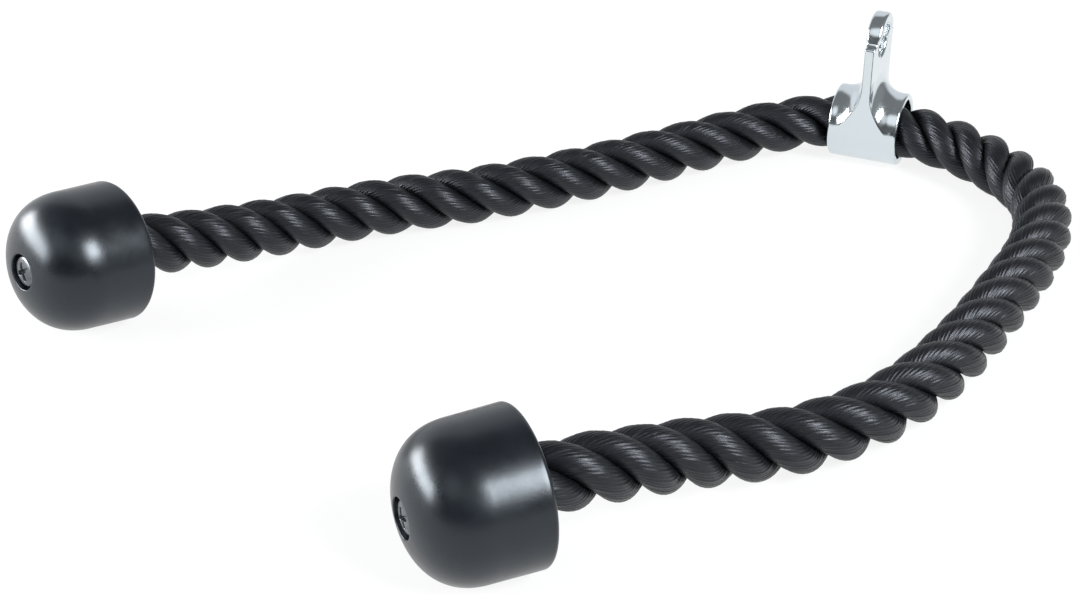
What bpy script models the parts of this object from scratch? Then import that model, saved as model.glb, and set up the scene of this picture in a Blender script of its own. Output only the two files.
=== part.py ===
"""Triceps rope attachment: a rope through a chromed eye bracket, with a rubber cap screwed on each end.

X runs to the right, Y away from the viewer and Z up. The bracket's sleeve and both caps rest on Z = 0,
and the origin is on that floor, within 1 mm of below the middle of the box round the bracket and the caps.
"""

import math

import bmesh
import bpy
import numpy as np
from mathutils import Matrix, Vector

MM = 0.001
GAP = 0.3 * MM

# Rope
ROPE_R = 13.0 * MM
ROPE_STEP = 9.0 * MM
ROPE_END = 0.8 * MM
BEND_LENGTH = 60.0 * MM

# Bracket
SLEEVE_R = 17.65 * MM
SLEEVE_LENGTH = 34.0 * MM
SLEEVE_EDGE = 1.2 * MM
BORE_R = 14.5 * MM
BORE_EDGE = 1.0 * MM
LUG_THICKNESS = 4.6 * MM
LUG_SHIFT = 0.5 * MM
LEFT_FILLET = 12.5 * MM
RIGHT_FILLET = 10.5 * MM
LUG_EDGE = 0.7 * MM
SHOULDER_Z = 45.3 * MM
SHOULDER_CORNER = 1.2 * MM
EYE_Z = 44.6 * MM
EYE_R = 13.3 * MM
EYE_EDGE = 1.6 * MM
EYE_NECK = 2.4 * MM
BULB_LOW = 42.5 * MM
BULB_HIGH = 50.0 * MM
BULB_EXTRA = 1.4 * MM
HOLE_R = 8.2 * MM
HOLE_CURVE = 5.0 * MM
BRACKET_PLACE = Vector((179.0 * MM, 169.0 * MM, SLEEVE_R))
BRACKET_TURN = math.radians(-24.2)

# Rubber caps, measured from the rim along the dome's axis
CAP_R = 29.3 * MM
CAP_LENGTH = 45.0 * MM
CAP_SIDE = 20.0 * MM
CAP_TAPER = 0.4 * MM
CAP_EDGE = 1.8 * MM
DOME_POWER = 2.36
MOUTH_R = ROPE_R + 0.5 * MM
MOUTH_EDGE = 1.0 * MM
LIP = 6.0 * MM
COUNTERBORE_R = 7.4 * MM
COUNTERBORE_FLOOR = 37.5 * MM

# Steel parts inside a cap
FERRULE_R = 15.0 * MM
FERRULE_START = 9.0 * MM
FERRULE_END = 28.7 * MM
FERRULE_FLOOR = 7.0 * MM
FERRULE_BORE_R = ROPE_R + GAP
CRIMP_DEPTH = 0.6 * MM
CRIMP_WIDTH = 1.6 * MM
SHANK_R = 2.9 * MM
SHANK_HOLE_R = SHANK_R + GAP
SCREW_TIP = 23.0 * MM
WASHER_R = 6.3 * MM
WASHER_THICKNESS = 1.2 * MM
HEAD_R = 5.8 * MM
HEAD_HEIGHT = 3.8 * MM
RECESS_SPAN = 6.2 * MM
RECESS_WIDTH = 1.5 * MM
RECESS_DEPTH = 2.2 * MM

# Where each cap lies: its rim's centre on the floor plan, the way its dome points and how far that rises
CAPS = {
    "left": {"x": -160.15 * MM, "y": 16.2 * MM, "heading": 224.5, "rise": 7.8},
    "right": {"x": 11.2 * MM, "y": -153.85 * MM, "heading": 204.5, "rise": -0.9},
}

# The rope's middle line in millimetres, chosen by hand, from the left cap round to the right one
LEFT_ROUTE = [
    (-144.1, 29.3, 24.9),
    (-125.2, 43.4, 20.6),
    (-105.8, 58.0, 16.8),
    (-85.5, 71.5, 14.4),
    (-63.4, 83.4, 13.3),
    (-40.5, 91.8, 13.1),
    (-16.8, 98.6, 13.1),
    (7.1, 107.8, 13.1),
    (31.0, 119.0, 13.1),
    (55.1, 131.7, 13.1),
    (80.0, 145.9, 13.1),
    (103.6, 160.0, 13.1),
    (113.1, 164.9, 13.2),
    (122.1, 169.2, 13.6),
    (132.1, 172.8, 14.3),
    (142.4, 174.9, 15.2),
    (153.0, 176.1, 16.1),
]
SLEEVE_ROUTE = [
    (163.5, 175.3, 17.0),
    (179.0, 170.0, 17.4),
    (194.4, 161.5, 17.3),
]
RIGHT_ROUTE = [
    (206.3, 153.4, 16.9),
    (217.0, 144.9, 16.0),
    (226.5, 135.4, 14.8),
    (234.5, 124.8, 13.7),
    (240.5, 112.5, 13.1),
    (243.5, 98.6, 13.1),
    (242.8, 79.8, 13.1),
    (238.2, 60.4, 13.1),
    (230.6, 41.6, 13.1),
    (221.9, 25.2, 13.1),
    (212.7, 9.5, 13.1),
    (194.7, -20.2, 13.1),
    (177.4, -45.6, 13.1),
    (160.5, -66.8, 13.1),
    (143.7, -82.9, 13.1),
    (127.3, -94.5, 13.3),
    (110.2, -103.7, 14.0),
    (93.4, -110.9, 15.6),
    (76.6, -118.0, 18.4),
    (60.0, -127.1, 21.9),
    (44.3, -136.6, 25.7),
    (29.5, -145.0, 28.6),
]

COLOURS = {
    "chrome": ((0.80, 0.82, 0.84), 0.08, 1.0),
    "rubber": ((0.025, 0.028, 0.033), 0.42, 0.0),
    "rope": ((0.018, 0.019, 0.022), 0.70, 0.0),
    "zinc": ((0.62, 0.63, 0.64), 0.32, 1.0),
}


def clear_scene():
    for thing in list(bpy.data.objects):
        bpy.data.objects.remove(thing, do_unlink=True)
    for group in list(bpy.data.collections):
        bpy.data.collections.remove(group)


def new_collection(name):
    group = bpy.data.collections.new(name)
    bpy.context.scene.collection.children.link(group)
    return group


def finish(thing, finish_name):
    """Gives a part its own material, with the colour, roughness and metallic value of its finish."""
    colour, roughness, metallic = COLOURS[finish_name]
    material = bpy.data.materials.new(thing.name + "_" + finish_name)
    material.use_nodes = True
    shader = material.node_tree.nodes["Principled BSDF"]
    shader.inputs["Base Color"].default_value = (*colour, 1.0)
    shader.inputs["Roughness"].default_value = roughness
    shader.inputs["Metallic"].default_value = metallic
    thing.data.materials.append(material)


def add_object(name, data, group):
    thing = bpy.data.objects.new(name, data)
    group.objects.link(thing)
    return thing


def as_cutter(thing):
    thing.hide_render = True
    thing.display_type = "WIRE"
    return thing


def boolean(thing, tool, operation):
    modifier = thing.modifiers.new(operation.lower() + "_" + tool.name, "BOOLEAN")
    modifier.object = tool
    modifier.operation = operation
    modifier.solver = "EXACT"
    return modifier


def smooth(thing, angle=35.0):
    thing.data.shade_smooth()
    thing.data.set_sharp_from_angle(angle=math.radians(angle))


def turned(name, profile, group, steps, closed=True):
    """A turned solid about local Z. The profile is (radius, height) pairs, down the outer side first."""
    mesh = bpy.data.meshes.new(name)
    count = len(profile)
    edges = [(i, i + 1) for i in range(count - 1)]
    if closed:
        edges.append((count - 1, 0))
    mesh.from_pydata([(radius, 0.0, height) for radius, height in profile], edges, [])
    thing = add_object(name, mesh, group)
    screw = thing.modifiers.new("turn", "SCREW")
    screw.axis = "Z"
    screw.angle = math.tau
    screw.steps = steps
    screw.render_steps = steps
    screw.use_merge_vertices = True
    screw.merge_threshold = 0.00001
    screw.use_smooth_shade = True
    return thing


def arc(centre, radius, start, end, count):
    """Points on an arc from angle start to angle end, in degrees, as (x, y) pairs."""
    angles = np.radians(np.linspace(start, end, count))
    return [(centre[0] + radius * math.cos(a), centre[1] + radius * math.sin(a)) for a in angles]


def lug_outline():
    """The bracket seen along its sleeve, as (Y, Z) points: flank, shoulder, eye, and round below."""
    flank_top = SHOULDER_Z - SHOULDER_CORNER
    steepest = math.atan2(flank_top, SLEEVE_R)
    flank = [(SLEEVE_R, SLEEVE_R * math.tan(angle)) for angle in np.linspace(0.0, steepest, 13)[:-1]]
    corner = arc((SLEEVE_R - SHOULDER_CORNER, flank_top), SHOULDER_CORNER, 0, 90, 4)
    # The neck's arc touches the shoulder's top and the eye's circle
    rise = SHOULDER_Z + EYE_NECK - EYE_Z
    reach = math.sqrt((EYE_R + EYE_NECK) ** 2 - rise**2)
    touch = math.degrees(math.atan2(rise, reach))
    neck = arc((reach, SHOULDER_Z + EYE_NECK), EYE_NECK, 270, 180 + touch, 5)
    head = arc((0.0, EYE_Z), EYE_R, touch, 90, 10)[1:]
    right = flank + corner + neck + head
    left = [(-y, z) for y, z in right[-2::-1]]
    below = arc((0.0, 0.0), SLEEVE_R, 180, 360, 25)[1:-1]
    return np.array(right + left + below)


def bulb_share(z):
    """Nothing on the lug's plate, rising softly to one on the thicker top of the eye."""
    share = min(1.0, max(0.0, (z - BULB_LOW) / (BULB_HIGH - BULB_LOW)))
    return share * share * (3 - 2 * share)


def bracket_side(point, facing, fillet, middle):
    """Half of one section through the sleeve's axis, as (radius, X) from the outline in to the bore."""
    radius = float(np.linalg.norm(point))
    way = point / radius
    half = middle + LUG_THICKNESS / 2
    end = SLEEVE_LENGTH / 2
    top = SLEEVE_R + fillet
    edge = LUG_EDGE + (EYE_EDGE - LUG_EDGE) * bulb_share(point[1])
    edge = min(edge, 0.5 * (radius - SLEEVE_R) * facing)
    points = []
    for angle in np.linspace(0.0, math.pi / 2, 5):
        r = radius - edge * (1 - math.cos(angle)) / facing
        short = min(max(top - r, 0.0), fillet)
        rise = half + BULB_EXTRA * bulb_share(r * way[1]) + fillet - math.sqrt(fillet**2 - short**2)
        points.append((r, rise - edge * (1 - math.sin(angle))))
    for r in np.linspace(r, min(r, top), 10)[1:-1]:
        points.append((r, half + BULB_EXTRA * bulb_share(r * way[1]) if r > top else rise))
    for angle in np.linspace(math.asin(short / fillet), math.pi / 2, 8):
        points.append((SLEEVE_R + fillet * (1 - math.sin(angle)), half + fillet * (1 - math.cos(angle))))
    rim = arc((SLEEVE_R - SLEEVE_EDGE, end - SLEEVE_EDGE), SLEEVE_EDGE, 0, 90, 4)
    mouth = arc((BORE_R + BORE_EDGE, end - BORE_EDGE), BORE_EDGE, 90, 180, 4)
    return points + rim + mouth


def hole_profile():
    """The eye's hole, narrowest in the middle, as a rounded ring leaves it."""
    reach = math.degrees(math.asin((LUG_THICKNESS / 2 + BULB_EXTRA + 0.6 * MM) / HOLE_CURVE))
    wall = arc((HOLE_R + HOLE_CURVE, 0.0), HOLE_CURVE, 180 - reach, 180 + reach, 9)
    return [(0.0, wall[0][1])] + wall + [(0.0, wall[-1][1])]


def make_bracket(parts, cutters):
    """The chromed bracket as sections round the sleeve's axis, which is its local X."""
    outline = lug_outline()
    along = np.roll(outline, -1, axis=0) - np.roll(outline, 1, axis=0)
    outward = np.stack([along[:, 1], -along[:, 0]], axis=1)
    outward /= np.linalg.norm(outward, axis=1)[:, None]
    shape = bmesh.new()
    rings = []
    for point, normal in zip(outline, outward):
        radius = float(np.linalg.norm(point))
        y, z = point / radius
        facing = float(normal @ point) / radius
        ring = [(-x, r) for r, x in reversed(bracket_side(point, facing, LEFT_FILLET, -LUG_SHIFT))]
        ring += [(x, r) for r, x in bracket_side(point, facing, RIGHT_FILLET, LUG_SHIFT)]
        rings.append([shape.verts.new((x, r * y, r * z)) for x, r in ring])
    for ring, following in zip(rings, rings[1:] + rings[:1]):
        for k in range(len(ring)):
            shape.faces.new((ring[k - 1], ring[k], following[k], following[k - 1]))
    bmesh.ops.remove_doubles(shape, verts=shape.verts, dist=0.000002)
    bmesh.ops.dissolve_limit(shape, angle_limit=math.radians(0.2), verts=shape.verts, edges=shape.edges)
    bmesh.ops.recalc_face_normals(shape, faces=shape.faces)
    mesh = bpy.data.meshes.new("bracket")
    shape.to_mesh(mesh)
    shape.free()
    bracket = add_object("bracket", mesh, parts)

    place = Matrix.Translation(BRACKET_PLACE) @ Matrix.Rotation(BRACKET_TURN, 4, "Z")
    hole = as_cutter(turned("bracket_hole", hole_profile(), cutters, 36, closed=False))
    bracket.matrix_world = place
    hole.matrix_world = place @ Matrix.Translation((LUG_SHIFT, 0, EYE_Z)) @ Matrix.Rotation(math.pi / 2, 4, "Y")
    boolean(bracket, hole, "DIFFERENCE")
    smooth(bracket)
    finish(bracket, "chrome")


def dome_points(count):
    """The cap's dome from the counterbore's mouth out to its side: a superellipse."""
    radius = CAP_R - CAP_TAPER
    height = CAP_LENGTH - CAP_SIDE
    start = math.acos((COUNTERBORE_R / radius) ** (DOME_POWER / 2))
    points = []
    for t in np.linspace(start, 0.0, count):
        points.append(
            (
                radius * math.cos(t) ** (2 / DOME_POWER),
                CAP_SIDE + height * math.sin(t) ** (2 / DOME_POWER),
            )
        )
    return points


def cap_profile():
    """The moulded cap in section: dome, side and rim, then the rope's mouth, the pocket and the screw's way."""
    pocket_r = FERRULE_R + GAP
    pocket_end = FERRULE_END + GAP
    outer = dome_points(15)
    outer += arc((CAP_R - CAP_EDGE, CAP_EDGE), CAP_EDGE, 0, -90, 5)
    mouth = arc((MOUTH_R + MOUTH_EDGE, MOUTH_EDGE), MOUTH_EDGE, 270, 180, 4)
    inner = [
        (MOUTH_R, LIP),
        (pocket_r, LIP + 1 * MM),
        (pocket_r, pocket_end),
        (SHANK_HOLE_R, pocket_end),
        (SHANK_HOLE_R, COUNTERBORE_FLOOR),
        (COUNTERBORE_R, COUNTERBORE_FLOOR),
    ]
    return outer + mouth + inner


def ferrule_profile():
    """The crimped cup: a thick floor for the screw's thread, and a wall with two rolled crimps."""
    floor = FERRULE_END - FERRULE_FLOOR
    wall = [(FERRULE_R - 1 * MM, FERRULE_END), (FERRULE_R, FERRULE_END - 1 * MM)]
    for middle in (17.4 * MM, 12.8 * MM):
        wall += [
            (FERRULE_R, middle + CRIMP_WIDTH / 2),
            (FERRULE_R - CRIMP_DEPTH, middle),
            (FERRULE_R, middle - CRIMP_WIDTH / 2),
        ]
    inner = [
        (FERRULE_R, FERRULE_START),
        (FERRULE_BORE_R, FERRULE_START),
        (FERRULE_BORE_R, floor),
        (SHANK_HOLE_R, floor),
        (SHANK_HOLE_R, FERRULE_END),
    ]
    return wall + inner


def washer_profile(bottom):
    top = bottom + WASHER_THICKNESS
    return [
        (SHANK_HOLE_R, top),
        (WASHER_R, top),
        (WASHER_R, bottom),
        (SHANK_HOLE_R, bottom),
    ]


def screw_profile(seat):
    """The pan-head screw, from the crown of its head down to its tip."""
    side = 1.5 * MM
    crown = HEAD_HEIGHT - side
    head = [
        (HEAD_R * math.sin(t), seat + side + crown * math.cos(t)) for t in np.linspace(0, math.pi / 2, 7)
    ]
    shank = [
        (HEAD_R - 0.3 * MM, seat),
        (SHANK_R, seat),
        (SHANK_R, SCREW_TIP + 1 * MM),
        (SHANK_R - 1 * MM, SCREW_TIP),
        (0.0, SCREW_TIP),
    ]
    return head + shank


def make_recess(name, seat, cutters):
    """The driver's cross recess: two tapered blades that cross."""
    top = seat + HEAD_HEIGHT + 0.5 * MM
    floor = seat + HEAD_HEIGHT - RECESS_DEPTH
    blades = []
    for turn in range(2):
        shape = bmesh.new()
        bmesh.ops.create_cube(shape, size=1.0)
        for vertex in shape.verts:
            low = vertex.co.z < 0
            span = RECESS_SPAN * (0.55 if low else 1.0)
            width = RECESS_WIDTH * (0.7 if low else 1.0)
            vertex.co = (vertex.co.x * span, vertex.co.y * width, floor if low else top)
        bmesh.ops.rotate(
            shape, verts=shape.verts, cent=(0, 0, 0), matrix=Matrix.Rotation(turn * math.pi / 2 + 0.5, 3, "Z")
        )
        mesh = bpy.data.meshes.new(f"{name}_{turn}")
        shape.to_mesh(mesh)
        shape.free()
        blades.append(as_cutter(add_object(f"{name}_{turn}", mesh, cutters)))
    return blades


def cap_matrix(side):
    """A cap's place: local Z along the dome, the rim's centre at the origin, its edge on the floor."""
    place = CAPS[side]
    heading = math.radians(place["heading"])
    rise = math.radians(place["rise"])
    height = CAP_R * math.cos(rise) - CAP_EDGE * math.sin(rise)
    axis = Vector(
        (
            math.cos(heading) * math.cos(rise),
            math.sin(heading) * math.cos(rise),
            math.sin(rise),
        )
    )
    down = Vector((0, 0, -1))
    across = axis.cross(down).normalized()
    lowest = across.cross(axis)
    turn = Matrix((lowest, across, axis)).transposed().to_4x4()
    return Matrix.Translation((place["x"], place["y"], height)) @ turn


def make_cap_end(side, parts, cutters):
    """One rope end's cap with its screw, washer and ferrule, all turned about the dome's axis."""
    place = cap_matrix(side)
    washer_seat = COUNTERBORE_FLOOR + GAP
    head_seat = washer_seat + WASHER_THICKNESS + GAP
    cap = turned(f"{side}_cap", cap_profile(), parts, 40)
    ferrule = turned(f"{side}_ferrule", ferrule_profile(), parts, 32)
    washer = turned(f"{side}_washer", washer_profile(washer_seat), parts, 24)
    screw = turned(f"{side}_cap_screw", screw_profile(head_seat), parts, 24, closed=False)
    blades = make_recess(f"{side}_recess", head_seat, cutters)
    for thing in (cap, ferrule, washer, screw, *blades):
        thing.matrix_world = place
    for blade in blades:
        boolean(screw, blade, "DIFFERENCE")
    for thing, look in ((cap, "rubber"), (ferrule, "zinc"), (washer, "zinc"), (screw, "zinc")):
        smooth(thing)
        finish(thing, look)


def spline_through(points, step):
    """A natural cubic spline through the points, as (distance along it, position) every step or less."""
    points = np.array(points)
    knots = np.concatenate([[0.0], np.cumsum(np.linalg.norm(np.diff(points, axis=0), axis=1))])
    span = np.diff(knots)
    count = len(points)
    matrix = np.eye(count)
    slopes = np.zeros((count, 3))
    for i in range(1, count - 1):
        matrix[i, i - 1 : i + 2] = (span[i - 1], 2 * (span[i - 1] + span[i]), span[i])
        change = (points[i + 1] - points[i]) / span[i] - (points[i] - points[i - 1]) / span[i - 1]
        slopes[i] = 6 * change
    bend = np.linalg.solve(matrix, slopes)
    where = np.linspace(0.0, knots[-1], int(knots[-1] / step) + 1)
    i = np.clip(np.searchsorted(knots, where, side="right") - 1, 0, count - 2)
    h = span[i][:, None]
    a = (knots[i + 1] - where)[:, None] / h
    b = 1 - a
    curve = a * points[i] + b * points[i + 1]
    curve += ((a**3 - a) * bend[i] + (b**3 - b) * bend[i + 1]) * h**2 / 6
    along = np.concatenate([[0.0], np.cumsum(np.linalg.norm(np.diff(curve, axis=0), axis=1))])
    return along, curve


def rope_line():
    """The rope's middle line from one ferrule's floor to the other's, and the distances of its cuts."""
    ends = {}
    end_depth = FERRULE_END - FERRULE_FLOOR - GAP
    for side in CAPS:
        place = cap_matrix(side)
        ends[side] = [tuple(place @ Vector((0, 0, depth))) for depth in (end_depth, 10 * MM, -4 * MM)]
    routes = [[tuple(c * MM for c in point) for point in route] for route in (LEFT_ROUTE, SLEEVE_ROUTE, RIGHT_ROUTE)]
    line = ends["left"] + routes[0] + routes[1] + routes[2] + ends["right"][::-1]
    along, curve = spline_through(line, 0.5 * MM)
    mouths = []
    for point in (routes[1][0], routes[1][-1]):
        mouths.append(along[np.linalg.norm(curve - np.array(point), axis=1).argmin()])
    return along, curve, mouths


def make_rope(parts):
    """Five tubes end to end: an arm, a bend, the middle in the sleeve, a bend and an arm."""
    along, curve, (left_mouth, right_mouth) = rope_line()
    cuts = [
        ("rope_left_arm", 0.0, left_mouth - BEND_LENGTH),
        ("rope_left_bend", left_mouth - BEND_LENGTH, left_mouth),
        ("rope_middle", left_mouth, right_mouth),
        ("rope_right_bend", right_mouth, right_mouth + BEND_LENGTH),
        ("rope_right_arm", right_mouth + BEND_LENGTH, along[-1]),
    ]
    for name, start, end in cuts:
        start += GAP / 2 if start > 0 else 0
        end -= GAP / 2 if end < along[-1] else 0
        # A short first and last stretch turns the end faces square to the rope's line
        count = max(3, round((end - start) / ROPE_STEP) + 1)
        where = np.linspace(start + ROPE_END, end - ROPE_END, count)
        where = np.concatenate([[start], where, [end]])
        points = np.stack([np.interp(where, along, curve[:, axis]) for axis in range(3)], axis=1)
        data = bpy.data.curves.new(name, "CURVE")
        data.dimensions = "3D"
        data.bevel_depth = ROPE_R
        data.bevel_resolution = 4
        data.use_fill_caps = True
        data.twist_mode = "Z_UP"
        spline = data.splines.new("POLY")
        spline.points.add(len(points) - 1)
        for knot, point in zip(spline.points, points):
            knot.co = (*point, 1.0)
        finish(add_object(name, data, parts), "rope")
    turn = np.diff(curve, axis=0)
    turn /= np.linalg.norm(turn, axis=1)[:, None]
    bend = np.arccos(np.clip((turn[10:] * turn[:-10]).sum(1), -1, 1)) / (along[10:-1] - along[:-11])
    print("rope length", round(float(along[-1]), 4), "tightest bend", round(float(1 / bend.max()), 4))


def main():
    clear_scene()
    parts = new_collection("triceps_rope_attachment")
    cutters = new_collection("cutters")
    make_bracket(parts, cutters)
    for side in CAPS:
        make_cap_end(side, parts, cutters)
    make_rope(parts)


main()
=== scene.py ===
import math

import bmesh
import bpy
import numpy as np
from mathutils import Matrix, Vector


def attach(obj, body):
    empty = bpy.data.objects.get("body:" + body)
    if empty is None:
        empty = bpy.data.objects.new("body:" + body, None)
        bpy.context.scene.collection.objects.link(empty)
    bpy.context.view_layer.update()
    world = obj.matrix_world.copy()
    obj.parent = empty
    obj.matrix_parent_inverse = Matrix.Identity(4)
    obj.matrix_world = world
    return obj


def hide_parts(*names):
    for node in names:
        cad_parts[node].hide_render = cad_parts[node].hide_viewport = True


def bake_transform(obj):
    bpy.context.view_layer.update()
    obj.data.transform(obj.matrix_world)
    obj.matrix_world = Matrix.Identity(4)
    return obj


mm = 0.001
gap = 0.3 * mm      # left between neighbouring parts, because touching meshes count as overlapping
weld = 0.001 * mm   # points of one mesh that are nearer than this become one

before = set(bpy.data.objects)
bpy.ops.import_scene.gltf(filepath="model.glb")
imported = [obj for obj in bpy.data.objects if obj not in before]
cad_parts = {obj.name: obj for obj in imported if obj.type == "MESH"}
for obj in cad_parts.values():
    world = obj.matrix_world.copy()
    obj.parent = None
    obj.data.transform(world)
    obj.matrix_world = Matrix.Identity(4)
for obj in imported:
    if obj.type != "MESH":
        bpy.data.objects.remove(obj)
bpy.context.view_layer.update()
print("frame loaded:", len(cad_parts), "parts")


# Small helpers for colours, nodes and meshes

def hexColour(code):
    # an sRGB hex value, turned to the linear colour that the shaders take
    shares = [int(code[i:i + 2], 16) / 255 for i in (1, 3, 5)]
    return [*(s / 12.92 if s <= 0.04045 else ((s + 0.055) / 1.055) ** 2.4 for s in shares), 1.0]


def addNode(tree, kind, settings=None, inputs=None):
    # one node with its own settings, and its sockets set to values or linked to other nodes' outputs
    node = tree.nodes.new(kind)
    for key, value in (settings or {}).items():
        setattr(node, key, value)
    for key, value in (inputs or {}).items():
        if isinstance(value, bpy.types.NodeSocket):
            tree.links.new(value, node.inputs[key])
        else:
            node.inputs[key].default_value = value
    return node


def newMaterial(name):
    material = bpy.data.materials.new(name)
    material.use_nodes = True
    tree = material.node_tree
    tree.nodes.clear()
    return material, tree


def addRamp(tree, factor, stops):
    # a colour ramp from (place, hex colour) pairs
    ramp = addNode(tree, "ShaderNodeValToRGB", inputs={"Fac": factor})
    elements = ramp.color_ramp.elements
    while len(elements) < len(stops):
        elements.new(0.5)
    for element, (place, code) in zip(elements, stops):
        element.position = place
        element.color = hexColour(code)
    return ramp.outputs["Color"]


def gridQuads(rows, columns, wrapRows=False, wrapColumns=False):
    # the four corners of every cell of a grid whose points are numbered row by row
    i = np.arange(rows if wrapRows else rows - 1)[:, None]
    j = np.arange(columns if wrapColumns else columns - 1)[None, :]
    up, side = (i + 1) % rows, (j + 1) % columns
    corners = [i * columns + j, i * columns + side, up * columns + side, up * columns + j]
    return np.stack(corners, axis=-1).reshape(-1, 4)


def addPiece(name, points, faces, material, uv=None, merge=0.0):
    # a mesh object at the origin from an array of points and a list of faces
    mesh = bpy.data.meshes.new(name)
    mesh.from_pydata(np.asarray(points).reshape(-1, 3).tolist(), [], [list(f) for f in faces])
    if uv is not None:
        layer = mesh.uv_layers.new(name="UVMap")
        layer.data.foreach_set("uv", np.asarray(uv, np.float32).ravel())
    if merge:
        shape = bmesh.new()
        shape.from_mesh(mesh)
        bmesh.ops.remove_doubles(shape, verts=shape.verts, dist=merge)
        bmesh.ops.recalc_face_normals(shape, faces=shape.faces)
        shape.to_mesh(mesh)
        shape.free()
    mesh.validate()
    mesh.shade_smooth()
    mesh.materials.append(material)
    piece = bpy.data.objects.new(name, mesh)
    bpy.context.scene.collection.objects.link(piece)
    return piece


def moved(points, place):
    # points turned and shifted by a 4 x 4 matrix
    m = np.array(place)
    return points @ m[:3, :3].T + m[:3, 3]


def unit(vectors):
    return vectors / np.linalg.norm(vectors, axis=-1, keepdims=True)


def smoothStep(share):
    # a share of 0 to 1, eased at both ends
    return share * share * (3 - 2 * share)


def arcPoints(centre, radius, start, end, count):
    # points from one angle to the other, in degrees
    angles = np.radians(np.linspace(start, end, count))
    return np.stack([centre[0] + radius * np.cos(angles), centre[1] + radius * np.sin(angles)], axis=1)


# Camera

camera = {
    "place": (0.0165, -0.6662, 0.3912), "down": 29.6, "focalPixels": 1850, "imageWidth": 1080,
    "sensorWidth": 36, "clip": (0.01, 20),
}


def makeCamera():
    data = bpy.data.cameras.new("camera")
    data.sensor_width = camera["sensorWidth"]
    data.lens = camera["sensorWidth"] * camera["focalPixels"] / camera["imageWidth"]
    data.clip_start, data.clip_end = camera["clip"]
    thing = bpy.data.objects.new("camera", data)
    thing.location = camera["place"]
    thing.rotation_euler = (math.radians(90 - camera["down"]), 0, 0)
    bpy.context.scene.collection.objects.link(thing)
    bpy.context.scene.camera = thing


makeCamera()
print("camera placed")


# Materials

def makeChromeMaterial():
    # Bright chrome over a polished casting: a mirror, a little uneven where the casting was not flat,
    # with sparse fine polishing scratches
    material, tree = newMaterial("polishedChromePlate")
    where = addNode(tree, "ShaderNodeTexCoord").outputs["Object"]
    waves = addNode(tree, "ShaderNodeTexNoise", inputs={
        "Vector": where, "Scale": 1 / (9 * mm), "Detail": 1.0})
    pits = addNode(tree, "ShaderNodeTexNoise", inputs={
        "Vector": where, "Scale": 1 / (1.6 * mm), "Detail": 2.0})
    haze = addNode(tree, "ShaderNodeMapRange", inputs={
        "Value": pits.outputs["Fac"], "From Min": 0.45, "From Max": 0.75, "To Min": 0.13, "To Max": 0.21})
    uneven = addNode(tree, "ShaderNodeBump", inputs={
        "Strength": 0.35, "Distance": 0.25 * mm, "Height": waves.outputs["Fac"]})
    grain = addNode(tree, "ShaderNodeBump", inputs={
        "Strength": 0.12, "Distance": 0.03 * mm, "Height": pits.outputs["Fac"],
        "Normal": uneven.outputs["Normal"]})
    shader = addNode(tree, "ShaderNodeBsdfPrincipled", inputs={
        "Base Color": hexColour("#D3DCE0"), "Metallic": 1.0,
        "Roughness": haze.outputs["Result"], "Normal": grain.outputs["Normal"]})
    addNode(tree, "ShaderNodeOutputMaterial", inputs={"Surface": shader.outputs["BSDF"]})
    return material


def makeRubberMaterial():
    # Moulded satin rubber: a soft sheen that smears the lamps, faint handling marks and a fine mould grain
    material, tree = newMaterial("mouldedRubber")
    where = addNode(tree, "ShaderNodeTexCoord").outputs["Object"]
    marks = addNode(tree, "ShaderNodeTexNoise", inputs={
        "Vector": where, "Scale": 1 / (14 * mm), "Detail": 5.0, "Roughness": 0.6})
    grain = addNode(tree, "ShaderNodeTexNoise", inputs={
        "Vector": where, "Scale": 1 / (0.7 * mm), "Detail": 2.0})
    colour = addRamp(tree, marks.outputs["Fac"], [(0.35, "#05090F"), (0.7, "#090E15")])
    gloss = addNode(tree, "ShaderNodeMapRange", inputs={
        "Value": marks.outputs["Fac"], "From Min": 0.3, "From Max": 0.7, "To Min": 0.25, "To Max": 0.35})
    swell = addNode(tree, "ShaderNodeBump", inputs={
        "Strength": 0.35, "Distance": 0.3 * mm, "Height": marks.outputs["Fac"]})
    skin = addNode(tree, "ShaderNodeBump", inputs={
        "Strength": 0.15, "Distance": 0.05 * mm, "Height": grain.outputs["Fac"],
        "Normal": swell.outputs["Normal"]})
    shader = addNode(tree, "ShaderNodeBsdfPrincipled", inputs={
        "Base Color": colour, "Roughness": gloss.outputs["Result"], "IOR": 1.52, "Specular IOR Level": 0.6,
        "Specular Tint": hexColour("#E4EFF8"), "Normal": skin.outputs["Normal"]})
    addNode(tree, "ShaderNodeOutputMaterial", inputs={"Surface": shader.outputs["BSDF"]})
    return material


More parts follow.
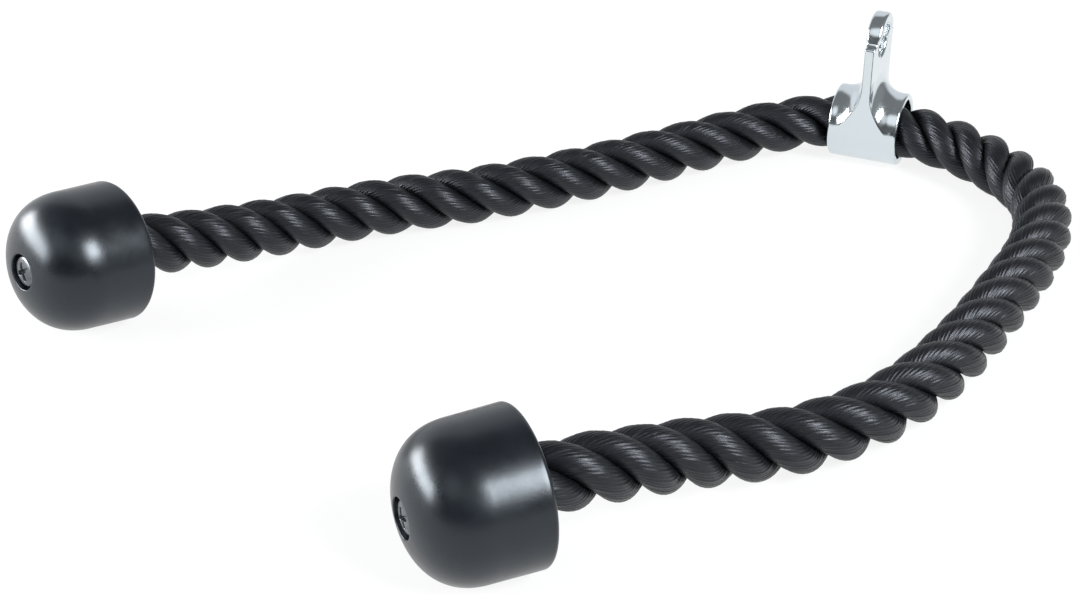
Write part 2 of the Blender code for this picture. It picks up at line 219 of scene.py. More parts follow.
def makeRopeMaterial(yarns):
    # Twisted nylon filament: black yarns with fine shiny filaments along them. U counts round
    # the strand from 0 to 1 and V is the way along it in metres, so the streaks follow the yarns
    material, tree = newMaterial("twistedNylon")
    flat = addNode(tree, "ShaderNodeUVMap", {"uv_map": "UVMap"}).outputs["UV"]
    split = addNode(tree, "ShaderNodeSeparateXYZ", inputs={"Vector": flat})
    # filaments are about 0.06 mm thick, too fine to show, so a streak stands for six of them
    streaksPerYarn = 4.0
    streakLength = 5 * mm
    across = addNode(tree, "ShaderNodeMath", {"operation": "MULTIPLY"}, {
        0: split.outputs["X"], 1: yarns * streaksPerYarn})
    along = addNode(tree, "ShaderNodeMath", {"operation": "MULTIPLY"}, {
        0: split.outputs["Y"], 1: 1 / streakLength})
    streakPlace = addNode(tree, "ShaderNodeCombineXYZ", inputs={
        "X": across.outputs[0], "Y": along.outputs[0]})
    streaks = addNode(tree, "ShaderNodeTexNoise", inputs={
        "Vector": streakPlace.outputs["Vector"], "Scale": 1.0, "Detail": 3.0, "Roughness": 0.65})
    tint = addRamp(tree, streaks.outputs["Fac"], [(0.3, "#050607"), (0.55, "#0E0F12"), (0.75, "#212429")])
    gloss = addNode(tree, "ShaderNodeMapRange", inputs={
        "Value": streaks.outputs["Fac"], "From Min": 0.3, "From Max": 0.7, "To Min": 0.5, "To Max": 0.24})
    relief = addNode(tree, "ShaderNodeBump", inputs={
        "Strength": 0.7, "Distance": 0.15 * mm, "Height": streaks.outputs["Fac"]})
    shader = addNode(tree, "ShaderNodeBsdfPrincipled", inputs={
        "Base Color": tint, "Roughness": gloss.outputs["Result"], "IOR": 1.53, "Specular IOR Level": 0.39,
        "Specular Tint": hexColour("#E8EEFA"), "Normal": relief.outputs["Normal"]})
    addNode(tree, "ShaderNodeOutputMaterial", inputs={"Surface": shader.outputs["BSDF"]})
    return material


def makeZincMaterial():
    # Bright zinc plate on turned steel: greyer and duller than chrome, with faint cloudy patches
    material, tree = newMaterial("zincPlatedSteel")
    where = addNode(tree, "ShaderNodeTexCoord").outputs["Object"]
    clouds = addNode(tree, "ShaderNodeTexNoise", inputs={
        "Vector": where, "Scale": 1 / (2.5 * mm), "Detail": 4.0, "Roughness": 0.6})
    colour = addRamp(tree, clouds.outputs["Fac"], [(0.3, "#575B5F"), (0.7, "#777B7E")])
    gloss = addNode(tree, "ShaderNodeMapRange", inputs={
        "Value": clouds.outputs["Fac"], "From Min": 0.3, "From Max": 0.7, "To Min": 0.38, "To Max": 0.24})
    relief = addNode(tree, "ShaderNodeBump", inputs={
        "Strength": 0.2, "Distance": 0.03 * mm, "Height": clouds.outputs["Fac"]})
    shader = addNode(tree, "ShaderNodeBsdfPrincipled", inputs={
        "Base Color": colour, "Metallic": 1.0, "Roughness": gloss.outputs["Result"],
        "Normal": relief.outputs["Normal"]})
    addNode(tree, "ShaderNodeOutputMaterial", inputs={"Surface": shader.outputs["BSDF"]})
    return material


# Rubber caps and their screws

cap = {
    "radius": 29.3 * mm, "length": 45.0 * mm, "side": 20.0 * mm, "taper": 0.4 * mm, "edge": 1.8 * mm,
    "domePower": 2.36, "mouth": 13.5 * mm, "mouthEdge": 1.0 * mm, "lip": 6.0 * mm,
    "lipSlope": 1.0 * mm, "pocket": 15.3 * mm, "pocketEnd": 29.0 * mm, "screwWay": 3.2 * mm,
    "counterbore": 7.4 * mm, "counterboreFloor": 37.5 * mm, "counterboreEdge": 0.5 * mm,
    "segments": 180,
    "rows": {"dome": 70, "side": 12, "rim": 10, "mouth": 8, "counterbore": 5},
    "places": {                 # rim centre on the floor plan, the dome's heading and its rise in degrees
        "left": {"x": -160.15 * mm, "y": 16.2 * mm, "heading": 224.5, "rise": 7.8},
        "right": {"x": 11.2 * mm, "y": -153.85 * mm, "heading": 204.5, "rise": -0.9}},
}


def capMatrix(side):
    # local Z along the dome, the rim's centre at the origin, the rim's edge on the floor
    place = cap["places"][side]
    heading, rise = math.radians(place["heading"]), math.radians(place["rise"])
    height = cap["radius"] * math.cos(rise) - cap["edge"] * math.sin(rise)
    axis = Vector((math.cos(heading) * math.cos(rise), math.sin(heading) * math.cos(rise), math.sin(rise)))
    across = axis.cross(Vector((0, 0, -1))).normalized()
    lowest = across.cross(axis)
    turn = Matrix((lowest, across, axis)).transposed().to_4x4()
    return Matrix.Translation((place["x"], place["y"], height)) @ turn


def turnedPiece(name, profile, place, material, segments, closed, relief=None):
    # a profile of (radius, height) rows carried round local Z. relief lowers a point by its x and y
    profile = np.array(profile)
    angle = np.arange(segments) / segments * 2 * math.pi
    points = np.stack([
        profile[:, :1] * np.cos(angle), profile[:, :1] * np.sin(angle),
        np.repeat(profile[:, 1:], segments, axis=1)], axis=2)
    if relief is not None:
        points[..., 2] -= relief(points)
    quads = gridQuads(len(profile), segments, wrapRows=closed, wrapColumns=True)
    return addPiece(name, moved(points.reshape(-1, 3), place), quads, material, merge=weld)


def capProfile():
    # Cap in section: a superellipse dome, a slightly tapered side and a rounded rim, then the rope's
    # mouth, the ferrule's pocket, the screw's way and the counterbore
    c, rows = cap, cap["rows"]
    radius, height = c["radius"] - c["taper"], c["length"] - c["side"]
    lip = c["counterbore"] + c["counterboreEdge"]
    start = math.acos((lip / radius) ** (c["domePower"] / 2))
    t = np.linspace(start, 0.0, rows["dome"])
    dome = np.stack([
        radius * np.cos(t) ** (2 / c["domePower"]),
        c["side"] + height * np.sin(t) ** (2 / c["domePower"])], axis=1)
    shares = np.linspace(0.0, 1.0, rows["side"] + 2)[1:-1, None]
    side = dome[-1] + shares * (np.array([c["radius"], c["edge"]]) - dome[-1])
    rim = arcPoints((c["radius"] - c["edge"], c["edge"]), c["edge"], 0, -90, rows["rim"])
    mouthCentre = (c["mouth"] + c["mouthEdge"], c["mouthEdge"])
    mouth = arcPoints(mouthCentre, c["mouthEdge"], 270, 180, rows["mouth"])
    inner = [
        (c["mouth"], c["lip"]), (c["pocket"], c["lip"] + c["lipSlope"]), (c["pocket"], c["pocketEnd"]),
        (c["screwWay"], c["pocketEnd"]), (c["screwWay"], c["counterboreFloor"]),
        (c["counterbore"], c["counterboreFloor"])]
    rolledCentre = (lip, dome[0, 1] - c["counterboreEdge"])
    rolled = arcPoints(rolledCentre, c["counterboreEdge"], 180, 90, rows["counterbore"] + 1)[:-1]
    return np.concatenate([dome, side, rim, mouth, inner, rolled])


washerThickness = 1.2 * mm

screw = {
    "seat": cap["counterboreFloor"] + washerThickness + 2 * gap,
    "headRadius": 6.2 * mm, "headHeight": 4.9 * mm, "headSide": 3.5 * mm, "headEdge": 0.1 * mm,
    "shank": 2.9 * mm, "tip": 23.0 * mm, "tipEdge": 1.0 * mm,
    "recessSpan": 7.4 * mm, "recessWidth": 1.7 * mm, "recessDepth": 1.8 * mm, "recessSlope": 0.4 * mm,
    "recessTurn": 0.5,          # in radians
    "segments": 96, "crownRows": 60,
}


def crossRecess(points):
    # the driver's cross: two bars that fade out over the slope of their walls, the deeper one wins
    s = screw
    c, sn = math.cos(s["recessTurn"]), math.sin(s["recessTurn"])
    x = points[..., 0] * c + points[..., 1] * sn
    y = points[..., 1] * c - points[..., 0] * sn

    def inside(value, half):
        return smoothStep(np.clip((half - np.abs(value)) / s["recessSlope"] + 0.5, 0, 1))

    bars = [inside(p, s["recessSpan"] / 2) * inside(q, s["recessWidth"] / 2) for p, q in ((x, y), (y, x))]
    onHead = points[..., 2] > s["seat"] + s["headSide"] - gap
    return s["recessDepth"] * np.maximum(*bars) * onHead


def screwProfile():
    # pan-head screw in section, from the middle of its head to its tip
    s = screw
    seat, edge = s["seat"], s["headEdge"]
    t = np.linspace(0, math.pi / 2, s["crownRows"])
    crown = s["headHeight"] - s["headSide"]
    head = np.stack([s["headRadius"] * np.sin(t), seat + s["headSide"] + crown * np.cos(t)], axis=1)
    below = [
        (s["headRadius"] - edge, seat + edge), (s["headRadius"] - 3 * edge, seat), (s["shank"], seat),
        (s["shank"], s["tip"] + s["tipEdge"]), (s["shank"] - s["tipEdge"], s["tip"]), (0.0, s["tip"])]
    return np.concatenate([head, below])


def makeCaps():
    rubber, zinc = makeRubberMaterial(), makeZincMaterial()
    for side in ("left", "right"):
        place = capMatrix(side)
        body = f"{side}_arm"
        dome = turnedPiece(f"rubber_cap_{side}", capProfile(), place, rubber, cap["segments"], closed=True)
        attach(dome, body)
        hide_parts(f"{side}_cap")
        head = turnedPiece(
            f"pan_screw_{side}", screwProfile(), place, zinc, screw["segments"], closed=False,
            relief=crossRecess)
        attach(head, body)
        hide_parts(f"{side}_cap_screw")
        for node in (f"{side}_washer", f"{side}_ferrule"):
            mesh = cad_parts[node].data
            mesh.materials.clear()
            mesh.materials.append(zinc)
    print("caps moulded and screwed on")


# Rope, one laid rope in two meshes that meet inside the sleeve

rope = {
    "radius": 13.0 * mm,        # over the strands
    "strands": 3,
    "strandRadius": 5.9 * mm,
    "strandSeed": 1.7,          # makes each strand's yarns uneven in its own way
    "yarns": 24,                # round one strand
    "yarnSegments": 4,
    "yarnDepth": 0.22 * mm,
    "yarnGroove": 0.02,         # rounds the bottoms of the grooves between the yarns
    "yarnSway": 0.45,           # how unevenly the yarns stand, against their depth
    "swayWaves": [              # two waves in the yarns' heights: radians a yarn, radians a metre, seeds
        (2.4, 210, 1), (5.1, 97, 3)],
    "yarnTwist": 27.8 * mm,     # along the rope, for one turn of a strand's yarns
    "step": 1.42 * mm,          # from ring to ring
    "lineStep": 0.5 * mm,       # from point to point of the middle line
    "pathEvery": 4,             # one point in four of the middle line goes into the declared path
    "bendLength": 60 * mm,      # beside the sleeve, where the arm's turn is spread
    "lay": [                    # (way along, lay length), as the strands show it
        (0.0, 49.9 * mm), (0.06, 52.2 * mm), (0.13, 54.5 * mm), (0.2, 58.8 * mm), (0.27, 63.6 * mm),
        (0.33, 67.4 * mm), (0.372, 64.4 * mm), (0.405, 60.4 * mm), (0.44, 56.0 * mm), (0.475, 52.0 * mm),
        (0.51, 50.1 * mm), (0.545, 53.8 * mm), (0.58, 57.9 * mm), (0.61, 61.4 * mm), (0.66, 61.3 * mm),
        (0.71, 60.2 * mm), (0.76, 59.2 * mm), (0.81, 58.6 * mm), (0.86, 58.0 * mm), (0.9, 57.5 * mm)],
    "phase": 95.7,              # turn of the first strand at the left end, in degrees
    "capDepths": [              # of the middle line's last points, the first just off the ferrule's floor
        21.4 * mm, 10 * mm, -4 * mm],
    "squareReach": 12 * mm,     # how far from its ends a strand's rings turn square to the rope's line
}

leftRoute = [
    (-0.1441, 0.0293, 0.0249), (-0.1252, 0.0434, 0.0206), (-0.1058, 0.0580, 0.0168),
    (-0.0855, 0.0715, 0.0144), (-0.0634, 0.0834, 0.0133), (-0.0405, 0.0918, 0.0131),
    (-0.0168, 0.0986, 0.0131), (0.0071, 0.1078, 0.0131), (0.0310, 0.1190, 0.0131), (0.0551, 0.1317, 0.0131),
    (0.0800, 0.1459, 0.0131), (0.1036, 0.1600, 0.0131), (0.1131, 0.1649, 0.0132), (0.1221, 0.1692, 0.0136),
    (0.1321, 0.1728, 0.0143), (0.1424, 0.1749, 0.0152), (0.1530, 0.1761, 0.0161)]
sleeveRoute = [(0.1635, 0.1753, 0.0170), (0.1790, 0.1700, 0.0174), (0.1944, 0.1615, 0.0173)]
rightRoute = [
    (0.2063, 0.1534, 0.0169), (0.2170, 0.1449, 0.0160), (0.2265, 0.1354, 0.0148), (0.2345, 0.1248, 0.0137),
    (0.2405, 0.1125, 0.0131), (0.2435, 0.0986, 0.0131), (0.2428, 0.0798, 0.0131), (0.2382, 0.0604, 0.0131),
    (0.2306, 0.0416, 0.0131), (0.2219, 0.0252, 0.0131), (0.2127, 0.0095, 0.0131), (0.1947, -0.0202, 0.0131),
    (0.1774, -0.0456, 0.0131), (0.1605, -0.0668, 0.0131), (0.1437, -0.0829, 0.0131),
    (0.1273, -0.0945, 0.0133), (0.1102, -0.1037, 0.0140), (0.0934, -0.1109, 0.0156),
    (0.0766, -0.1180, 0.0184), (0.0600, -0.1271, 0.0219), (0.0443, -0.1366, 0.0257),
    (0.0295, -0.1450, 0.0286)]


def smoothLine(points, step):
    # a natural cubic spline through the points: its second derivatives solve one linear system
    points = np.array(points)
    knots = np.concatenate([[0.0], np.cumsum(np.linalg.norm(np.diff(points, axis=0), axis=1))])
    span = np.diff(knots)
    count = len(points)
    inner = np.arange(1, count - 1)
    matrix = np.eye(count)
    matrix[inner, inner - 1] = span[:-1]
    matrix[inner, inner] = 2 * (span[:-1] + span[1:])
    matrix[inner, inner + 1] = span[1:]
    slope = np.diff(points, axis=0) / span[:, None]
    change = np.zeros((count, 3))
    change[inner] = 6 * np.diff(slope, axis=0)
    bend = np.linalg.solve(matrix, change)
    where = np.linspace(0.0, knots[-1], int(knots[-1] / step) + 1)
    i = np.clip(np.searchsorted(knots, where, side="right") - 1, 0, count - 2)
    h = span[i][:, None]
    a = (knots[i + 1] - where)[:, None] / h
    b = 1 - a
    curve = a * points[i] + b * points[i + 1] + ((a**3 - a) * bend[i] + (b**3 - b) * bend[i + 1]) * h**2 / 6
    along = np.concatenate([[0.0], np.cumsum(np.linalg.norm(np.diff(curve, axis=0), axis=1))])
    return along, curve


def ropeLine():
    # the way along for each point of the middle line, and the line, from one ferrule to the other
    ends = {}
    for side in ("left", "right"):
        depths = np.array([[0, 0, depth] for depth in rope["capDepths"]])
        ends[side] = moved(depths, capMatrix(side))
    route = np.concatenate([ends["left"], leftRoute, sleeveRoute, rightRoute, ends["right"][::-1]])
    return smoothLine(route, rope["lineStep"])


def strandTurn(along):
    # the first strand's turn about the rope's line: the integral of a whole turn over the lay length
    # in 2000 steps over one metre, which is more than the rope has
    places, lays = np.array(rope["lay"]).T
    fine = np.linspace(0.0, 1.0, 2001)
    rate = 2 * math.pi / np.interp(fine, places, lays)
    total = np.concatenate([[0.0], np.cumsum((rate[1:] + rate[:-1]) / 2 * np.diff(fine))])
    return math.radians(rope["phase"]) + np.interp(along, fine, total)


def strandSurface(line, along, where, index):
    # Strand surface: rings (rows) on the strand's helix about the rope's line. A ring's point at angle
    # t from outward stands radius x (1 + bumps) from the helix, and t turns backwards along the rope
    # with the yarns, so that the outer yarns run in line with the rope
    centre = np.stack([np.interp(where, along, line[:, k]) for k in range(3)], axis=1)
    tangent = unit(np.gradient(centre, axis=0))
    side = unit(np.cross(tangent, [0.0, 0.0, 1.0]))
    down = np.cross(tangent, side)
    turn = strandTurn(where) + index * 2 * math.pi / rope["strands"]
    offset = rope["radius"] - rope["strandRadius"]
    out = np.cos(turn)[:, None] * side + np.sin(turn)[:, None] * down
    helix = centre + offset * out
    strandWay = unit(np.gradient(helix, axis=0))
    out = unit(out - (out * strandWay).sum(1)[:, None] * strandWay)
    sideways = np.cross(strandWay, out)

    count = rope["yarns"] * rope["yarnSegments"]
    column = np.arange(count)
    angle = column / count * 2 * math.pi - 2 * math.pi * where[:, None] / rope["yarnTwist"]
    # each yarn is round, and stands a little higher or lower than the next as it goes along
    inYarn = (column % rope["yarnSegments"]) / rope["yarnSegments"]
    bump = np.sqrt(np.sin(math.pi * inYarn) ** 2 + rope["yarnGroove"]) - 1
    yarn = column // rope["yarnSegments"]
    sway = 1.0
    for perYarn, perMetre, seeds in rope["swayWaves"]:
        seed = rope["strandSeed"] * index * seeds
        sway = sway * np.sin(yarn * perYarn + seed + where[:, None] * perMetre)
    height = rope["yarnDepth"] * (bump + rope["yarnSway"] * sway)
    radius = rope["strandRadius"] + height
    points = (helix[:, None] + (radius * np.cos(angle))[..., None] * out[:, None]
              + (radius * np.sin(angle))[..., None] * sideways[:, None])
    # near the ends the points slide along their strand, until the last ring is square to the rope's line
    ahead = ((points - centre[:, None]) * tangent[:, None]).sum(2) / (strandWay * tangent).sum(1)[:, None]
    fromEnd = np.minimum(where - where[0], where[-1] - where)
    share = np.maximum(0, 1 - fromEnd / rope["squareReach"])
    points -= (share[:, None] * ahead)[..., None] * strandWay[:, None]
    return points, helix


def ropeHalf(name, line, along, start, end, material):
    # the strands' surfaces with their ends closed, in one mesh
    rows = round((end - start) / rope["step"]) + 1
    where = np.linspace(start, end, rows)
    count = rope["yarns"] * rope["yarnSegments"]
    allPoints, allFaces, allUv = [], [], []
    base = 0
    for index in range(rope["strands"]):
        points, helix = strandSurface(line, along, where, index)
        quads = gridQuads(rows, count, wrapColumns=True) + base
        # U runs on to 1 in the last column, so no face runs back across the pattern
        i, j = np.meshgrid(np.arange(rows - 1), np.arange(count), indexing="ij")
        u = np.stack([j, j + 1, j + 1, j], axis=-1) / count
        v = np.stack([where[i], where[i], where[i + 1], where[i + 1]], axis=-1)
        allUv.append(np.stack([u, v], axis=-1).reshape(-1, 2))
        allPoints += [points.reshape(-1, 3), helix[[0, -1]]]
        ring = np.arange(count)
        following = (ring + 1) % count
        first, last = base + rows * count, base + rows * count + 1
        lastRow = base + (rows - 1) * count
        startCap = np.stack([np.full(count, first), base + following, base + ring], axis=1)
        endCap = np.stack([np.full(count, last), lastRow + ring, lastRow + following], axis=1)
        allFaces += quads.tolist() + startCap.tolist() + endCap.tolist()
        # the two ends' triangles show no pattern
        allUv.append(np.zeros((2 * 3 * count, 2)))
        base += rows * count + 2
    return addPiece(name, np.concatenate(allPoints), allFaces, material, uv=np.concatenate(allUv))


def makeRope():
    material = makeRopeMaterial(rope["yarns"])
    along, line = ropeLine()
    mouths = [along[np.linalg.norm(line - np.array(p), axis=1).argmin()]
              for p in (sleeveRoute[0], sleeveRoute[-1])]
    middle = sum(mouths) / 2
    # each half's start and end along the line, and where its bend starts and ends
    halves = {
        "left": (0.0, middle - gap / 2, mouths[0], mouths[0] - rope["bendLength"]),
        "right": (middle + gap / 2, along[-1], mouths[1], mouths[1] + rope["bendLength"])}
    for side, (start, end, mouth, bendEnd) in halves.items():
        nodes = [f"rope_{side}_arm", f"rope_{side}_bend"]
        piece = ropeHalf(f"laid_rope_{side}", line, along, start, end, material)
        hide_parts(*nodes, "rope_middle")
        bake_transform(piece)
    print("rope laid:", round(float(along[-1]), 4), "m")


# Bracket, a chromed casting: a short sleeve with a lug and an eye standing on it

bracket = {
    "sleeveRadius": 17.65 * mm, "sleeveLength": 34.0 * mm, "sleeveEdge": 1.2 * mm,
    "boreRadius": 14.5 * mm, "boreEdge": 1.0 * mm,
    "lugThickness": 4.6 * mm, "lugShift": 0.5 * mm, "lugEdge": 0.7 * mm,
    "leftFillet": 12.5 * mm, "rightFillet": 10.5 * mm,
    "shoulder": 45.3 * mm, "shoulderCorner": 1.2 * mm,
    "eyeHeight": 44.6 * mm, "eyeRadius": 13.3 * mm, "eyeEdge": 1.6 * mm, "eyeNeck": 2.4 * mm,
    "bulbLow": 42.5 * mm, "bulbHigh": 50.0 * mm, "bulbExtra": 1.4 * mm,
    "holeRadius": 8.2 * mm, "holeRound": 1.7 * mm,
    "place": (179.0 * mm, 169.0 * mm, 17.65 * mm),
    "turn": -24.2,              # about the upright axis, in degrees
    "rows": {                   # points along each stretch of the surface
        "flank": 47, "corner": 8, "neck": 10, "head": 40, "below": 73,
        "edge": 8, "hollow": 20, "rim": 8, "face": 26, "hole": 8},
    "crowding": 1.3,            # above 1, the face's rows stand closer near the hole
    "weld": 0.004 * mm,         # some points on the hole's wall come 0.0012 mm close
}


def bulbShare(z):
    # how much of the lug's thicker top a height has, from 0 to 1
    return smoothStep(np.clip((z - bracket["bulbLow"]) / (bracket["bulbHigh"] - bracket["bulbLow"]), 0, 1))


def lugOutline():
    # the lug seen along the sleeve: flank, rounded shoulder, hollow neck and round eye, and round below
    b, rows = bracket, bracket["rows"]
    flankTop = b["shoulder"] - b["shoulderCorner"]
    steepest = math.atan2(flankTop, b["sleeveRadius"])
    slopes = np.linspace(0.0, steepest, rows["flank"], endpoint=False)
    flank = np.stack([np.full_like(slopes, b["sleeveRadius"]), b["sleeveRadius"] * np.tan(slopes)], axis=1)
    cornerCentre = (b["sleeveRadius"] - b["shoulderCorner"], flankTop)
    corner = arcPoints(cornerCentre, b["shoulderCorner"], 0, 90, rows["corner"])
    rise = b["shoulder"] + b["eyeNeck"] - b["eyeHeight"]
    reach = math.sqrt((b["eyeRadius"] + b["eyeNeck"]) ** 2 - rise**2)
    touch = math.degrees(math.atan2(rise, reach))
    neckCentre = (reach, b["shoulder"] + b["eyeNeck"])
    neck = arcPoints(neckCentre, b["eyeNeck"], 270, 180 + touch, rows["neck"])
    head = arcPoints((0.0, b["eyeHeight"]), b["eyeRadius"], touch, 90, rows["head"])[1:]
    right = np.concatenate([flank, corner, neck, head])
    left = right[-2::-1] * [-1, 1]
    below = arcPoints((0.0, 0.0), b["sleeveRadius"], 180, 360, rows["below"])[1:-1]
    return np.concatenate([right, left, below])


def faceHeight(points, fillet, half):
    # how far the lug's face stands from the lug's middle: the plate, its thicker top, and the hollow
    # curve that runs out into the sleeve
    b = bracket
    radius = np.linalg.norm(points, axis=-1)
    short = np.clip(b["sleeveRadius"] + fillet - radius, 0.0, fillet)
    return half + b["bulbExtra"] * bulbShare(points[..., 1]) + fillet - np.sqrt(fillet**2 - short**2)


def bracketSide(outline, outward, fillet, half):
    # One side's sections from the outline to the bore, as (outline point, section point, xyz). Each runs
    # over the rounded edge, hollow curve, sleeve, rim and mouth. Then, as (y, z), where the edges end and
    # where the hollow curves start
    b, rows = bracket, bracket["rows"]
    radius = np.linalg.norm(outline, axis=1)
    edge = b["lugEdge"] + (b["eyeEdge"] - b["lugEdge"]) * bulbShare(outline[:, 1])
    edge = np.minimum(edge, 0.5 * (radius - b["sleeveRadius"]))[:, None]
    angle = np.linspace(0.0, math.pi / 2, rows["edge"])
    inset = outline[:, None] - (edge * (1 - np.cos(angle)))[..., None] * outward[:, None]
    edgeX = faceHeight(inset, fillet, half) - edge * (1 - np.sin(angle))
    edges = np.concatenate([edgeX[..., None], inset], axis=2)

    last = inset[:, -1]
    lastRadius = np.linalg.norm(last, axis=1)
    way = last / lastRadius[:, None]
    top = b["sleeveRadius"] + fillet
    start = np.arcsin(np.clip((top - lastRadius) / fillet, 0, 1))
    bow = start[:, None] + (math.pi / 2 - start[:, None]) * np.linspace(0.0, 1.0, rows["hollow"])
    hollowR = b["sleeveRadius"] + fillet * (1 - np.sin(bow))
    hollowX = half + fillet * (1 - np.cos(bow))
    end = b["sleeveLength"] / 2
    rimCentre = (b["sleeveRadius"] - b["sleeveEdge"], end - b["sleeveEdge"])
    mouthCentre = (b["boreRadius"] + b["boreEdge"], end - b["boreEdge"])
    rim = arcPoints(rimCentre, b["sleeveEdge"], 0, 90, rows["rim"])
    mouth = arcPoints(mouthCentre, b["boreEdge"], 90, 180, rows["rim"])
    tail = np.concatenate([rim, mouth])
    count = len(outline)
    sectionR = np.concatenate([hollowR, np.tile(tail[:, 0], (count, 1))], axis=1)
    sectionX = np.concatenate([hollowX, np.tile(tail[:, 1], (count, 1))], axis=1)
    sections = np.concatenate([sectionX[..., None], sectionR[..., None] * way[:, None]], axis=2)
    return np.concatenate([edges, sections], axis=1), last, way * hollowR[:, :1]


def facePatch(sign, fillet, half, loop):
    # one face of the lug from a loop of (y, z) points to the hole and down to the wall of the hole, with
    # a row of points for each point of the loop
    b, rows = bracket, bracket["rows"]
    holeCentre = np.array([0.0, b["eyeHeight"]])
    away = loop - holeCentre
    far = np.linalg.norm(away, axis=1)[:, None]
    direction = away / far
    near = b["holeRadius"] + b["holeRound"]
    share = np.linspace(1.0, 0.0, rows["face"]) ** b["crowding"]
    distance = near + (far - near) * share
    flat = holeCentre + distance[..., None] * direction[:, None]
    faceX = faceHeight(flat, fillet, half)
    angle = np.linspace(0.0, math.pi / 2, rows["hole"] + 1)[1:]
    roundR = b["holeRadius"] + b["holeRound"] * (1 - np.sin(angle))
    roundFlat = holeCentre + roundR[None, :, None] * direction[:, None]
    roundX = faceX[:, -1:] - b["holeRound"] * (1 - np.cos(angle))
    return np.concatenate([
        np.concatenate([faceX, roundX], axis=1)[..., None] * [sign],
        np.concatenate([flat, roundFlat], axis=1)], axis=2)


def makeBracket():
    b = bracket
    outline = lugOutline()
    around = np.roll(outline, -1, axis=0) - np.roll(outline, 1, axis=0)
    outward = unit(np.stack([around[:, 1], -around[:, 0]], axis=1))
    count = len(outline)
    sides = []
    for sign, fillet in ((-1, b["leftFillet"]), (1, b["rightFillet"])):
        half = b["lugThickness"] / 2 + sign * b["lugShift"]
        sections, edgeEnd, hollowStart = bracketSide(outline, outward, fillet, half)
        sections[..., 0] *= sign
        sides.append({
            "sign": sign, "fillet": fillet, "half": half,
            "sections": sections, "edgeEnd": edgeEnd, "hollowStart": hollowStart})
    # the two sides' sections back to back make closed rings through the outline and the bore
    leftSections, rightSections = [side["sections"] for side in sides]
    points = [np.concatenate([leftSections[:, ::-1], rightSections], axis=1).reshape(-1, 3)]
    perSide = leftSections.shape[1]
    quads = gridQuads(count, 2 * perSide, wrapRows=True, wrapColumns=True)

    # above the hollow curves' tops the face is a patch round the hole instead
    reach = np.linalg.norm(sides[0]["edgeEnd"], axis=1) > b["sleeveRadius"] + b["leftFillet"]
    onPlate = np.where(reach & (outline[:, 1] > 0))[0]
    chosen = np.arange(onPlate[0] - 1, onPlate[-1] + 2)
    row, column = np.divmod(np.arange(len(quads)), 2 * perSide)
    edgeRows = b["rows"]["edge"]
    onFace = (column == perSide - 1 - edgeRows) | (column == perSide + edgeRows - 1)
    quads = quads[~(onFace & (row >= chosen[0]) & (row < chosen[-1]))]

    base = count * 2 * perSide
    walls = []
    for side in sides:
        loop = np.concatenate([side["edgeEnd"][chosen], side["hollowStart"][chosen[::-1]]])
        patch = facePatch(side["sign"], side["fillet"], side["half"], loop)
        patchRows, patchColumns = patch.shape[:2]
        quads = np.concatenate([quads, gridQuads(patchRows, patchColumns, wrapRows=True) + base])
        walls.append(base + np.arange(patchRows) * patchColumns + patchColumns - 1)
        points.append(patch.reshape(-1, 3))
        base += patchRows * patchColumns
    # the hole's wall joins the two patches' last points
    following = [np.roll(w, -1) for w in walls]
    quads = np.concatenate([quads, np.stack([walls[0], walls[1], following[1], following[0]], axis=1)])

    place = Matrix.Translation(b["place"]) @ Matrix.Rotation(math.radians(b["turn"]), 4, "Z")
    points = moved(np.concatenate(points), place)
    piece = addPiece("eye_bracket", points, quads, makeChromeMaterial(), merge=b["weld"])
    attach(piece, "bracket")
    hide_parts("bracket")
    print("bracket cast:", len(piece.data.polygons), "faces")


# Studio: a white floor, two soft lamps and a dim room

studio = {
    "floorSize": 6.0,
    "floorWhite": 0.85,         # how much of the floor's own white the camera and mirrors see
    "target": (0.03, 0.02, 0.02),
    "lamps": {                  # azimuth from the viewer's side, elevation, distance, size and power
        "leftLamp": {"azimuth": -90, "elevation": 18, "distance": 1.2, "size": (1.3, 0.38), "power": 27},
        "rightLamp": {"azimuth": 51, "elevation": 35, "distance": 1.9, "size": (0.75, 0.85), "power": 50}},
    "ceiling": 0.23,            # how bright the room is where there's no card
    "roomTint": "#FAFCFF",
    "cards": [                  # middle's azimuth and elevation, degrees to full and to none, brightness
        (180, 8, 37, 51, 0.88), (-140, 14, 8, 20, 1.0), (92, 10, 22, 38, 0.3), (-20, 4, 24, 38, 0.12),
        (-32, 46, 9, 22, 1.15), (5, 41, 7, 18, 0.8)],
}


def makeFloor():
    size = studio["floorSize"] / 2
    corners = [(-size, -size, 0), (size, -size, 0), (size, size, 0), (-size, size, 0)]
    material, tree = newMaterial("paintedWhiteFloor")
    path = addNode(tree, "ShaderNodeLightPath").outputs
    direct = addNode(tree, "ShaderNodeMath", {"operation": "MAXIMUM"}, {
        0: path["Is Camera Ray"], 1: path["Is Glossy Ray"]})
    seen = addNode(tree, "ShaderNodeMath", {"operation": "MAXIMUM"}, {
        0: direct.outputs[0], 1: path["Is Transmission Ray"]})
    share = addNode(tree, "ShaderNodeMath", {"operation": "MULTIPLY"}, {
        0: seen.outputs[0], 1: studio["floorWhite"]})
    paint = addNode(tree, "ShaderNodeBsdfDiffuse", inputs={"Color": hexColour("#F4F5F6")})
    glow = addNode(tree, "ShaderNodeEmission", inputs={"Color": (1, 1, 1, 1), "Strength": 1.0})
    mixed = addNode(tree, "ShaderNodeMixShader", inputs={
        0: share.outputs[0], 1: paint.outputs["BSDF"], 2: glow.outputs["Emission"]})
    addNode(tree, "ShaderNodeOutputMaterial", inputs={"Surface": mixed.outputs["Shader"]})
    floor = addPiece("floor", corners, [(0, 1, 2, 3)], material)


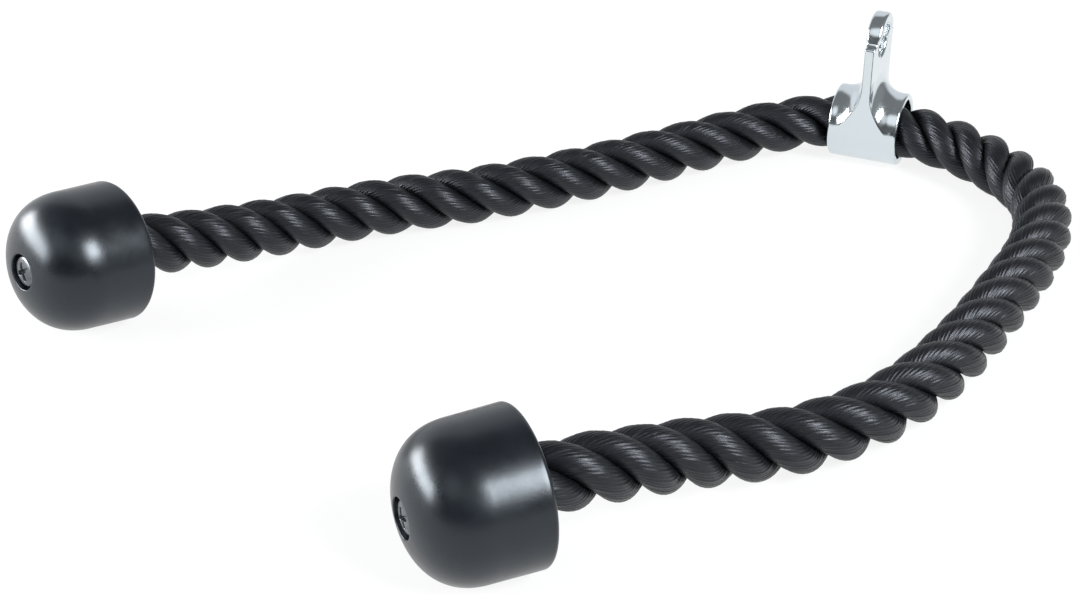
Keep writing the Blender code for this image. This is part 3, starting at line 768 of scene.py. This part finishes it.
def makeLamps():
    target = Vector(studio["target"])
    for name, lamp in studio["lamps"].items():
        azimuth, elevation = math.radians(lamp["azimuth"]), math.radians(lamp["elevation"])
        way = Vector((
            math.sin(azimuth) * math.cos(elevation),
            -math.cos(azimuth) * math.cos(elevation),
            math.sin(elevation)))
        data = bpy.data.lights.new(name, "AREA")
        data.shape = "RECTANGLE"
        data.size, data.size_y = lamp["size"]
        data.energy = lamp["power"]
        thing = bpy.data.objects.new(name, data)
        thing.location = target + way * lamp["distance"]
        thing.rotation_euler = (-way).to_track_quat("-Z", "Y").to_euler()
        bpy.context.scene.collection.objects.link(thing)


def makeRoom():
    # The camera sees white all round. The object is lit by, and mirrors, a grey room with soft round
    # cards: each card's share goes from one to nothing as the cosine to its middle falls
    world = bpy.data.worlds.new("studioRoom")
    world.use_nodes = True
    tree = world.node_tree
    tree.nodes.clear()
    path = addNode(tree, "ShaderNodeLightPath").outputs
    way = addNode(tree, "ShaderNodeTexCoord").outputs["Generated"]
    bright = studio["ceiling"]
    for azimuth, elevation, inner, outer, value in studio["cards"]:
        a, e = math.radians(azimuth), math.radians(elevation)
        middle = (math.sin(a) * math.cos(e), -math.cos(a) * math.cos(e), math.sin(e))
        facing = addNode(tree, "ShaderNodeVectorMath", {"operation": "DOT_PRODUCT"}, {0: way, 1: middle})
        share = addNode(tree, "ShaderNodeMapRange", {"interpolation_type": "SMOOTHSTEP"}, {
            "Value": facing.outputs["Value"], "From Min": math.cos(math.radians(outer)),
            "From Max": math.cos(math.radians(inner))})
        mix = addNode(tree, "ShaderNodeMix", inputs={0: share.outputs["Result"], 2: bright, 3: value})
        bright = mix.outputs[0]
    dim = addNode(tree, "ShaderNodeBackground", inputs={
        "Color": hexColour(studio["roomTint"]), "Strength": bright})
    white = addNode(tree, "ShaderNodeBackground", inputs={"Color": (1, 1, 1, 1), "Strength": 1.0})
    mixed = addNode(tree, "ShaderNodeMixShader", inputs={
        0: path["Is Camera Ray"], 1: dim.outputs["Background"], 2: white.outputs["Background"]})
    addNode(tree, "ShaderNodeOutputWorld", inputs={"Surface": mixed.outputs["Shader"]})
    bpy.context.scene.world = world


makeRope()
makeBracket()
makeCaps()
makeFloor()
makeLamps()
makeRoom()
bpy.context.scene.view_settings.view_transform = "Standard"
print("studio lit")
